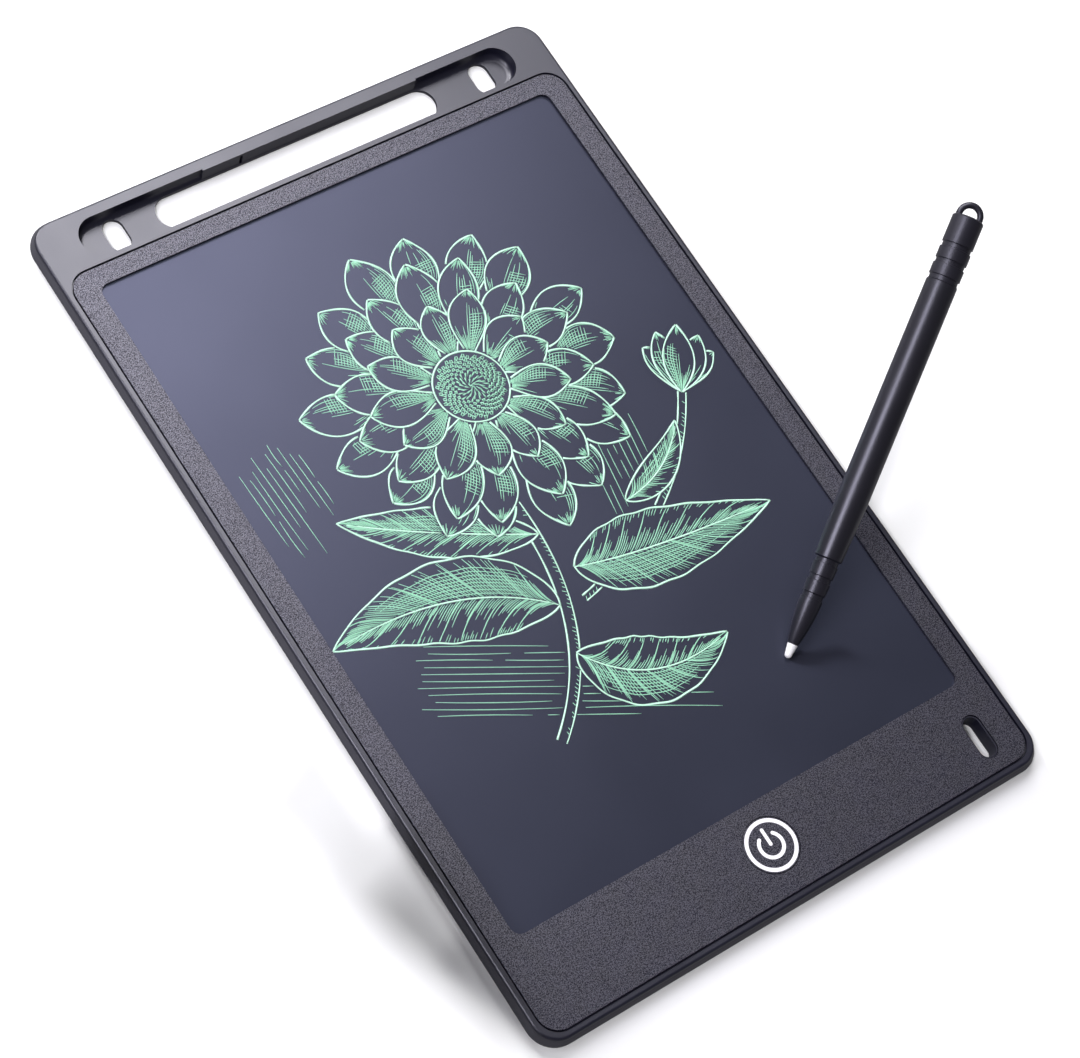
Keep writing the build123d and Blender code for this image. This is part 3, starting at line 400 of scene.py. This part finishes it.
class Leaf:
    # base, bend and tip of the rib, the widest half width, and the belly, where along the rib it lies
    def __init__(self, base, bend, tip, width, belly=leafForm["belly"], wave=0.0, shade=1):
        self.rib = bezier(base, bend, tip, leafForm["ribPoints"])
        self.side = sidesOf(self.rib)[1]
        t = np.linspace(0, 1, leafForm["ribPoints"])
        power = math.log(0.5) / math.log(belly)
        self.half = width * np.sin(np.pi * t ** power) ** leafForm["fullness"]
        self.half *= 1 + wave * np.sin(t * leafForm["waves"])
        self.width, self.shade = width, shade
        left = self.rib + self.side * self.half[:, None]
        right = self.rib - self.side * self.half[:, None]
        self.outline = np.concatenate([left, right[::-1]])
        self.edges = (left, right)

    def at(self, t, across):
        # t along the rib, across from -1 to 1
        last = len(self.rib) - 1
        i = np.clip(t * last, 0, last)
        lo = np.floor(i).astype(int)
        hi = np.minimum(lo + 1, last)
        share = i - lo
        rest = 1 - share
        rib = self.rib[lo] * rest[:, None] + self.rib[hi] * share[:, None]
        side = self.side[lo] * rest[:, None] + self.side[hi] * share[:, None]
        half = self.half[lo] * rest + self.half[hi] * share
        return rib + side * (half * across)[:, None]

    def length(self):
        return float(np.linalg.norm(np.diff(self.rib, axis=0), axis=1).sum())

    def beside(self, start, sign, first, end, count):
        # a line that leaves the rib at start and sweeps forward on its way to the edge
        a = np.linspace(first, end, count)
        return self.at(start + leafForm["sweep"] * a ** leafForm["sweepBend"], sign * a)

    def strokes(self, d):
        f = leafForm
        out = [(edge, d["outlineWidth"], "round") for edge in self.edges]
        out.append((self.rib[:f["ribDrawn"]], d["outlineWidth"] * d["thinnerOutline"], "fade"))
        veins = max(f["fewestVeins"], int(self.length() / f["veinGap"]))
        rows = int(self.length() / d["hatchGap"])
        lanes = max(f["fewestLanes"], int(self.width / d["crossGap"]))
        for sign in (-1, 1):
            for k in range(veins):
                start = f["firstVein"] + f["veinSpan"] * k / veins
                vein = self.beside(start, sign, 0, f["veinEnd"], f["veinPoints"])
                out.append((vein, d["veinWidth"], "fade"))
            dense = self.shade == sign
            for k in range(rows):
                start = f["firstRow"] + f["rowSpan"] * k / rows
                end = rng.uniform(*f["denseEnd"] if dense else f["looseEnd"])
                first = rng.uniform(*f["rowStart"])
                out.append((self.beside(start, sign, first, end, f["rowPoints"]), d["hatchWidth"], "fade"))
                if not dense and rng.random() < f["edgeShare"]:
                    end = rng.uniform(*f["edgeEnd"])
                    edge = self.beside(start, sign, f["edgeStart"], end, f["edgePoints"])
                    out.append((edge, d["hatchWidth"], "fade"))
            for k in range(lanes if dense else 0):
                across = sign * (f["firstLane"] + f["laneSpan"] * k / lanes)
                t = np.linspace(rng.uniform(*f["laneStart"]), rng.uniform(*f["laneEnd"]), f["lanePoints"])
                out.append((self.at(t, across * (1 - f["laneNarrowing"] * t)), d["hatchWidth"], "fade"))
        return out


# A petal has lanes from its base, short strokes from its tip, and a few rows across its shaded side.
petalForm = {
    "belly": 0.6, "budBelly": 0.5,
    "fewestLanes": 5, "laneGap": 0.8, "outerLane": 0.92, "laneSpan": 1.84, "shadeFrom": -0.1,
    "denseEnd": (0.55, 0.86), "looseEnd": (0.25, 0.5), "laneStart": 0.02, "lanePoints": 24,
    "openAtBase": 0.5, "openRate": 2,
    "tipShare": 0.7, "tipStart": 0.97, "tipEnd": (0.84, 0.92), "tipPoints": 6,
    "firstRow": 0.06, "rowSpan": 0.62, "rowStart": 0.1, "rowEnd": (0.7, 0.95), "rowSweep": 0.05,
    "rowPoints": 9,
}


class Petal(Leaf):
    def strokes(self, d):
        f = petalForm
        out = [(edge, d["outlineWidth"], "round") for edge in self.edges]
        lanes = max(f["fewestLanes"], int(2 * self.width / (d["hatchGap"] * f["laneGap"])))
        for k in range(lanes):
            across = -f["outerLane"] + f["laneSpan"] * k / (lanes - 1)
            dense = across * self.shade > f["shadeFrom"]
            end = rng.uniform(*f["denseEnd"] if dense else f["looseEnd"])
            t = np.linspace(f["laneStart"], end, f["lanePoints"])
            opening = f["openAtBase"] + (1 - f["openAtBase"]) * np.minimum(1, t * f["openRate"])
            out.append((self.at(t, across * opening), d["hatchWidth"], "fade"))
            if rng.random() < f["tipShare"]:
                t = np.linspace(f["tipStart"], rng.uniform(*f["tipEnd"]), f["tipPoints"])
                out.append((self.at(t, across), d["hatchWidth"], "fade"))
        rows = int(self.length() / d["crossGap"])
        for k in range(rows):
            start = f["firstRow"] + f["rowSpan"] * k / rows
            a = np.linspace(f["rowStart"], rng.uniform(*f["rowEnd"]), f["rowPoints"])
            row = self.at(start + f["rowSweep"] * a, a * self.shade)
            out.append((row, d["hatchWidth"], "fade"))
        return out


# The flower's middle is filled with small seeds, each set off from the one before by the golden angle.
discForm = {"edgePoints": 48, "seeds": 190, "rim": 1.0, "goldenAngle": 2.39996, "seedSize": 0.28,
            "seedGrowth": 0.3, "seedTurn": 0.9, "seedPoints": 8}


def ring(centre, radius, angles):
    return centre + radius * np.stack([np.cos(angles), np.sin(angles)], axis=1)


class Disc:
    def __init__(self, centre, radius):
        self.centre, self.radius = centre, radius
        self.outline = ring(centre, radius, np.linspace(0, 2 * np.pi, discForm["edgePoints"] + 1)[:-1])

    def strokes(self, d):
        f = discForm
        out = [(np.concatenate([self.outline, self.outline[:1]]), d["outlineWidth"], "round")]
        for k in range(f["seeds"]):
            r = (self.radius - f["rim"]) * math.sqrt((k + 0.5) / f["seeds"])
            a = k * f["goldenAngle"]
            size = f["seedSize"] + f["seedGrowth"] * r / self.radius
            turn = np.linspace(0, 2 * np.pi * f["seedTurn"], f["seedPoints"]) + a
            middle = self.centre + r * np.array([math.cos(a), math.sin(a)])
            out.append((ring(middle, size, turn), d["veinWidth"], "round"))
        return out


stemForm = {"points": 61, "growth": 1.25, "hatches": 58, "hatchReach": (0.5, 1.3), "hatchLean": 0.6,
            "hatchPoints": 5}


class Stem:
    # start, bend and end of its middle line, and half its width at the start
    def __init__(self, start, bend, end, width):
        middle = bezier(start, bend, end, stemForm["points"])
        self.along, self.side = sidesOf(middle)
        w = np.linspace(1.0, stemForm["growth"], stemForm["points"])[:, None] * width
        self.left, self.right = middle + self.side * w, middle - self.side * w
        self.outline = np.concatenate([self.left, self.right[::-1]])

    def strokes(self, d):
        f = stemForm
        out = [(self.left, d["outlineWidth"], "round"),
               (self.right, d["outlineWidth"] * d["thinnerOutline"], "round")]
        for k in range(f["hatches"]):
            inward = self.side[k] * rng.uniform(*f["hatchReach"]) + self.along[k] * f["hatchLean"]
            line = self.right[k] + inward * np.linspace(0, 1, f["hatchPoints"])[:, None]
            out.append((line, d["hatchWidth"], "fade"))
        return out


# The rings go from the front one to the one at the back.
flower = {
    "centre": np.array([-14.0, 24.0]),
    "middle": 9.5,
    "rings": (
        {"count": 13, "inner": 7.0, "length": 25.0, "width": 4.6, "first": 0.1, "bend": 1.0},
        {"count": 15, "inner": 12.0, "length": 34.0, "width": 5.4, "first": 0.32, "bend": 1.6},
        {"count": 17, "inner": 20.0, "length": 41.0, "width": 5.6, "first": 0.05, "bend": 2.2},
    ),
    "angleSpread": 0.05,
    "lengthSpread": (0.92, 1.06),
    "tipSpread": 1.5,
    "bendSpread": (0.4, 1.0),
    "widthSpread": (0.9, 1.08),
    "lightTurn": 0.8,
}


def petalRing(f, r):
    petals = []
    for k in range(r["count"]):
        a = r["first"] + 2 * math.pi * k / r["count"] + rng.uniform(-f["angleSpread"], f["angleSpread"])
        reach = r["length"] * rng.uniform(*f["lengthSpread"])
        direction = np.array([math.cos(a), math.sin(a)])
        across = np.array([-direction[1], direction[0]])
        base = f["centre"] + direction * r["inner"]
        tip = f["centre"] + direction * reach + across * rng.uniform(-f["tipSpread"], f["tipSpread"])
        bend = (base + tip) / 2 + across * r["bend"] * rng.uniform(*f["bendSpread"])
        width = r["width"] * rng.uniform(*f["widthSpread"])
        shade = 1 if math.cos(a + f["lightTurn"]) > 0 else -1
        petals.append(Petal(base, bend, tip, width, belly=petalForm["belly"], shade=shade))
    return petals


def flowerShapes(f):
    shapes = [Disc(f["centre"], f["middle"])]
    for r in f["rings"]:
        shapes += petalRing(f, r)
    return shapes


# A leaf is given by base, bend, tip and half width, a stem by start, bend, end and half width, and a petal
# of the bud by its tip, seen from the bud, and its half width.
sprig = {
    "leaves": (
        ((8, -22), (26, -18), (58, -2), 9.5),
        ((4, -32), (-22, -26), (-50, -46), 10.5),
        ((7, -44), (26, -54), (44, -37), 8.5),
        ((0, -14), (-26, -16), (-48, -14), 6.5),
    ),
    "leafWave": 0.02,
    "bud": np.array([38.5, 31.0]),
    "budBase": (0, -5),
    "budBend": (0.6, 4),
    "budPetals": (((0, 13.5), 4.0), ((-5.4, 11), 3.6), ((5.4, 11), 3.6), ((-9, 6.5), 2.9), ((9, 6.5), 2.9)),
    "budLeaf": ((22, -4), (34, 4), (36, 18), 4.0),
    "budStem": ((10, -30), (37, -6), (38.5, 26), 0.8),
    "mainStem": ((2, -66), (14, -36), (-6, -6), 1.25),
}


def leafShapes(s):
    shapes = [Leaf(*leaf, wave=s["leafWave"], shade=-1) for leaf in s["leaves"]]
    lean, height = s["budBend"]
    for tip, width in s["budPetals"]:
        base, bend, tip = (s["bud"] + spot for spot in (s["budBase"], (tip[0] * lean, height), tip))
        shapes.append(Petal(base, bend, tip, width, belly=petalForm["budBelly"]))
    return shapes + [Leaf(*s["budLeaf"]), Stem(*s["budStem"]), Stem(*s["mainStem"])]


# Loose parallel lines behind the sprig, with uneven ends, some of them in two pieces.
patches = (
    {"corner": (-30, -44), "reach": 74, "angle": 0.05, "rows": 11, "gap": 1.7},
    {"corner": (24, 20), "reach": 40, "angle": -1.2, "rows": 9, "gap": 1.8},
    {"corner": (-58, 6), "reach": 26, "angle": -1.0, "rows": 10, "gap": 1.7},
)
patchLine = {"startSpread": 3, "length": (0.55, 1.05), "wholeShare": 0.5, "firstCut": 0.02, "lastCut": 0.05,
             "bow": 0.5, "points": 24}


def hatchPatch(p, f):
    direction = np.array([math.cos(p["angle"]), math.sin(p["angle"])])
    down = np.array([direction[1], -direction[0]])
    out = []
    for k in range(p["rows"]):
        shift = rng.uniform(-f["startSpread"], f["startSpread"])
        start = np.array(p["corner"], float) + down * p["gap"] * k + direction * shift
        length = p["reach"] * rng.uniform(*f["length"])
        pieces = 1 if rng.random() < f["wholeShare"] else 2
        for piece in range(pieces):
            a = start + direction * length * (piece / pieces + f["firstCut"])
            b = start + direction * length * ((piece + 1) / pieces - f["lastCut"])
            bow = down * rng.uniform(-f["bow"], f["bow"])
            out.append((bezier(a, (a + b) / 2 + bow, b, f["points"]), drawing["hatchWidth"], "fade"))
    return out


def visibleRuns(points, blockers):
    keep = np.ones(len(points), bool)
    for polygon in blockers:
        low, high = polygon.min(0), polygon.max(0)
        near = keep & (points >= low).all(1) & (points <= high).all(1)
        if near.any():
            where = np.nonzero(near)[0]
            keep[where[inside(points[where], polygon)]] = False
    runs, run = [], []
    for i, seen in enumerate(keep):
        if seen:
            run.append(i)
        elif run:
            runs.append(run)
            run = []
    if run:
        runs.append(run)
    return [r for r in runs if len(r) >= drawing["fewestPoints"]]


def resample(points, step):
    lengths = np.concatenate([[0], np.cumsum(np.linalg.norm(np.diff(points, axis=0), axis=1))])
    if lengths[-1] < step:
        return points[[0, -1]]
    count = max(drawing["fewestPoints"], int(round(lengths[-1] / step)) + 1)
    at = np.linspace(0, lengths[-1], count)
    return np.stack([np.interp(at, lengths, points[:, 0]), np.interp(at, lengths, points[:, 1])], axis=1)


def strokeWidths(width, count, ends, d):
    t = np.linspace(0, 1, count)
    if ends == "fade":
        along = np.clip(t * d["fadeSpan"] + d["fadeStart"], 0, 1)
        return width * (d["fadedWidth"] + d["fadeSwell"] * np.sin(np.pi * along))
    return width * (d["roundWidth"] + d["roundSwell"] * np.sin(t * d["roundWaves"] + count))


def curveObject(name):
    curve = bpy.data.curves.new(name, "CURVE")
    curve.dimensions = "2D"
    obj = bpy.data.objects.new(name, curve)
    scene.collection.objects.link(obj)
    return obj


def addLine(curve, points, widths):
    spline = curve.splines.new("POLY")
    spline.points.add(len(points) - 1)
    for point, place, width in zip(spline.points, points, widths):
        point.co = (*place, 0, 1)
        point.radius = width
    return spline


def sweptMesh(name, strokes, d):
    profile = curveObject(name + " profile")
    addLine(profile.data, d["profile"], (1, 1, 1)).use_cyclic_u = True
    source = curveObject(name + " source")
    source.data.fill_mode = "NONE"
    source.data.bevel_mode = "OBJECT"
    source.data.bevel_object = profile
    source.data.use_fill_caps = True
    for points, width, ends in strokes:
        addLine(source.data, points, strokeWidths(width, len(points), ends, d))
    bpy.context.view_layer.update()
    mesh = bpy.data.meshes.new_from_object(source.evaluated_get(bpy.context.evaluated_depsgraph_get()))
    mesh.name = name
    bpy.data.objects.remove(source)
    bpy.data.objects.remove(profile)
    return mesh


# Each stroke is a thin raised ridge: a curve swept with a flat triangle, then turned into a mesh.
def inkLines(name, strokes, d, material):
    mesh = sweptMesh(name, strokes, d)
    low = min(v.co.z for v in mesh.vertices)
    high = max(v.co.z for v in mesh.vertices)
    for v in mesh.vertices:
        v.co.z = (v.co.z - low) / (high - low) * d["height"]
    place = Matrix.Translation((d["centre"][0] * mm, d["centre"][1] * mm, filmTop + d["lift"] * mm))
    mesh.transform(place @ Matrix.Rotation(d["turn"], 4, "Z") @ Matrix.Scale(mm, 4))
    bm = bmesh.new()
    bm.from_mesh(mesh)
    weld(bm)
    bm.to_mesh(mesh)
    bm.free()
    mesh.materials.clear()
    mesh.materials.append(material)
    obj = bpy.data.objects.new(name, mesh)
    scene.collection.objects.link(obj)
    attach(obj, "tablet")
    print(name, len(strokes), "strokes", len(mesh.polygons), "faces")


# The shapes go from front to back, and each one hides what lies behind it.
def drawSprig(d):
    bold, fine = [], []
    blockers = []
    for shape in flowerShapes(flower) + leafShapes(sprig):
        for points, width, ends in shape.strokes(d):
            wobble = np.array([rng.uniform(-0.5, 0.5), rng.uniform(-0.5, 0.5)]) * d["wobble"]
            points = resample(points, d["step"]) + wobble
            for run in visibleRuns(points, blockers):
                (bold if width > d["veinWidth"] else fine).append((points[run], width, ends))
        blockers.append(shape.outline)
    for patch in patches:
        for points, width, ends in hatchPatch(patch, patchLine):
            points = resample(points, d["step"] * d["patchStride"])
            for run in visibleRuns(points, blockers):
                fine.append((points[run], width, ends))
    return bold, fine


crystalMint = {**plastic, "colour": (0.56, 0.88, 0.70), "drift": 0.06, "driftScale": 120.0,
               "roughness": 0.45, "roughSpread": 0.05, "grainScale": 3000.0, "grainStrength": 0.1,
               "grainHeight": 0.00001}
crystalDim = {**crystalMint, "colour": (0.33, 0.68, 0.48)}
boldStrokes, fineStrokes = drawSprig(drawing)
inkLines("drawing_outlines", boldStrokes, drawing, mouldedPlastic("mint trace", crystalMint))
inkLines("drawing_hatching", fineStrokes, drawing, mouldedPlastic("dim mint trace", crystalDim))


# Floor and light
floor = {"size": 6.0, "height": -0.0003, "roughness": 0.9, "seen": 0.83, "bounced": 0.25, "glow": 0.035,
         "farGlow": 1.0, "shadowSpot": (-0.08, -0.09), "nearEnd": 0.16, "farStart": 0.6}


def layFloor(f):
    bm = bmesh.new()
    bmesh.ops.create_grid(bm, x_segments=2, y_segments=2, size=f["size"] / 2)
    obj = meshObject("floor", bm)
    obj.location.z = f["height"]
    mat, tree, shader = newMaterial("floor")
    shader.inputs["Roughness"].default_value = f["roughness"]
    shader.inputs["Specular IOR Level"].default_value = 0.0
    shader.inputs["Emission Color"].default_value = (1, 1, 1, 1)
    seen = tree.nodes.new("ShaderNodeLightPath").outputs["Is Camera Ray"]
    tree.links.new(remap(tree, seen, 0, 1, f["bounced"], f["seen"]), shader.inputs["Base Color"])
    # Only the camera sees the floor glow, a painted light that makes the floor as white far away as near and
    # pales the shadows on it. The glow is least round the deepest shadow, at the lower left edge, so that
    # painted light leaves that shadow dark.
    away = tree.nodes.new("ShaderNodeVectorMath")
    away.operation = "LENGTH"
    tree.links.new(objectCoords(tree, (-f["shadowSpot"][0], -f["shadowSpot"][1], 0)), away.inputs[0])
    glow = remap(tree, away.outputs["Value"], f["nearEnd"], f["farStart"], f["glow"], f["farGlow"])
    onlySeen = tree.nodes.new("ShaderNodeMath")
    onlySeen.operation = "MULTIPLY"
    tree.links.new(glow, onlySeen.inputs[0])
    tree.links.new(seen, onlySeen.inputs[1])
    tree.links.new(onlySeen.outputs[0], shader.inputs["Emission Strength"])
    obj.data.materials.append(mat)


layFloor(floor)

sky = {"colour": (0.97, 0.97, 1.0), "level": 0.1, "seenLevel": 1.0}


def lightWorld(s):
    world = bpy.data.worlds.new("studio")
    scene.world = world
    world.use_nodes = True
    tree = world.node_tree
    tree.nodes.clear()
    out = tree.nodes.new("ShaderNodeOutputWorld")
    background = tree.nodes.new("ShaderNodeBackground")
    background.inputs["Color"].default_value = (*s["colour"], 1)
    seen = tree.nodes.new("ShaderNodeLightPath").outputs["Is Camera Ray"]
    tree.links.new(remap(tree, seen, 0, 1, s["level"], s["seenLevel"]), background.inputs["Strength"])
    tree.links.new(background.outputs[0], out.inputs["Surface"])


# A lamp's level is how bright its face looks, with a white card at 1.
softBox = {"place": (0.161, 0.505, 0.733), "target": (0.0, 0.0, 0.0), "size": 0.592, "level": 7.2,
           "shape": "DISK", "colour": (0.98, 0.975, 1.0)}
leftLamp = {"place": (-0.66, -0.235, 1.0), "target": (-0.08, -0.06, 0.0), "size": 0.16, "level": 112.0,
            "shape": "DISK", "colour": (0.98, 0.97, 1.0), "mirrored": False}
penCard = {"place": (-0.66, 0.21, 0.80), "target": (0.07, -0.02, 0.035), "size": 0.42, "level": 9.5,
           "shape": "SQUARE", "colour": (0.92, 0.91, 1.0)}
farLamp = {"place": (-0.17, 1.04, 0.6), "target": (0.03, -0.05, 0.0), "size": 0.14, "level": 130.0,
           "shape": "DISK", "colour": (1.0, 1.0, 1.0)}
# This one lights the screen alone, and only the nib shades it, for the soft streak beside the nib.
nibLamp = {"place": (-0.72, 0.90, 0.44), "target": (0.03, -0.06, 0.0), "size": 0.24, "level": 860.0,
           "shape": "DISK", "colour": (1.0, 1.0, 1.0), "mirrored": False, "lit": ("lcd_top_film",),
           "shading": ("stylus_nib",)}
lamps = {"soft box": softBox, "left lamp": leftLamp, "pen card": penCard, "far lamp": farLamp,
         "nib lamp": nibLamp}

# Level cards out of sight that keep a lamp off the floor by the lower left edge. A corner is given where its
# shadow falls.
flags = {
    "left flag": {"lamp": leftLamp, "height": 0.06,
                  "corners": ((-0.0695, -0.05), (-0.095, -0.055), (-0.0775, -0.106), (-0.0695, -0.113))},
    "card flag": {"lamp": penCard, "height": 0.05,
                  "corners": ((-0.0695, -0.052), (-0.089, -0.061), (-0.0785, -0.104), (-0.0705, -0.113))},
    "box flag": {"lamp": softBox, "height": 0.015,
                 "corners": ((-0.0742, -0.062), (-0.090, -0.066), (-0.0765, -0.104), (-0.0735, -0.112))},
}
flagColour = (0.02, 0.02, 0.02, 1)


def nodeGroup(name, members):
    group = bpy.data.collections.new(name)
    for member in members:
        group.objects.link(nodes[member])
    return group


def areaLamp(name, lamp):
    data = bpy.data.lights.new(name, "AREA")
    data.shape = lamp["shape"]
    data.size = lamp["size"]
    area = lamp["size"] ** 2 * (math.pi / 4 if lamp["shape"] == "DISK" else 1.0)
    data.energy = lamp["level"] * math.pi * area
    data.color = lamp["colour"]
    obj = bpy.data.objects.new(name, data)
    scene.collection.objects.link(obj)
    aim = Vector(lamp["target"]) - Vector(lamp["place"])
    turn = aim.to_track_quat("-Z", "Y").to_matrix().to_4x4()
    obj.matrix_world = Matrix.Translation(lamp["place"]) @ turn
    obj.visible_glossy = lamp.get("mirrored", True)
    if "lit" in lamp:
        obj.light_linking.receiver_collection = nodeGroup(name + " lit", lamp["lit"])
        obj.light_linking.blocker_collection = nodeGroup(name + " shading", lamp["shading"])


def hangFlag(name, flag):
    lamp = Vector(flag["lamp"]["place"])
    rise = flag["height"] / lamp.z
    bm = bmesh.new()
    bm.faces.new([bm.verts.new(Vector((*spot, 0.0)).lerp(lamp, rise)) for spot in flag["corners"]])
    obj = meshObject(name, bm)
    obj.visible_camera = False
    obj.visible_glossy = False
    mat, tree, shader = newMaterial(name)
    shader.inputs["Base Color"].default_value = flagColour
    obj.data.materials.append(mat)


lightWorld(sky)
for name, lamp in lamps.items():
    areaLamp(name, lamp)
for name, flag in flags.items():
    hangFlag(name, flag)
print("stage and lights set")
